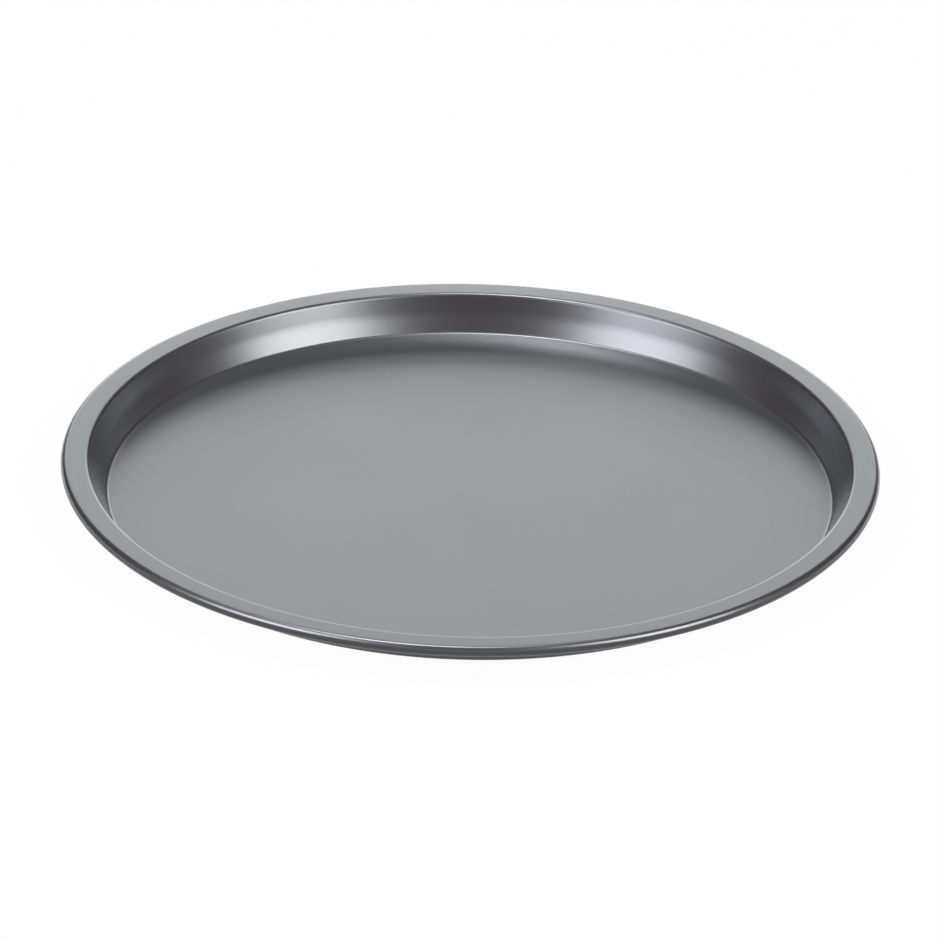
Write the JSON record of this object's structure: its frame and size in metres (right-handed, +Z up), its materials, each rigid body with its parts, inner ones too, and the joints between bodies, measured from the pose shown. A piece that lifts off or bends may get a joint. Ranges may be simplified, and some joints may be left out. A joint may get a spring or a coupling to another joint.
{
  "type": "pizza pan",
  "caption": "Shallow round non-stick pan with a flat floor, a short leaning wall and a flat rim rolled round a wire, for baking a pizza.",
  "frame": {"origin": "centre of the underside of the floor, on the surface that the pan stands on", "axes": "+Z points up along the pan's own axis; the pan is round, so X and Y are free"},
  "size_m": [0.33, 0.33, 0.0149],
  "materials": {
    "nonstick_coating": "satin dark grey non-stick coating with fine metal flake",
    "wire_steel": "drawn bright steel wire"
  },
  "bodies": {
    "root": {"pressed_pan": "nonstick_coating", "rim_wire": "wire_steel"}
  },
  "joints": []
}
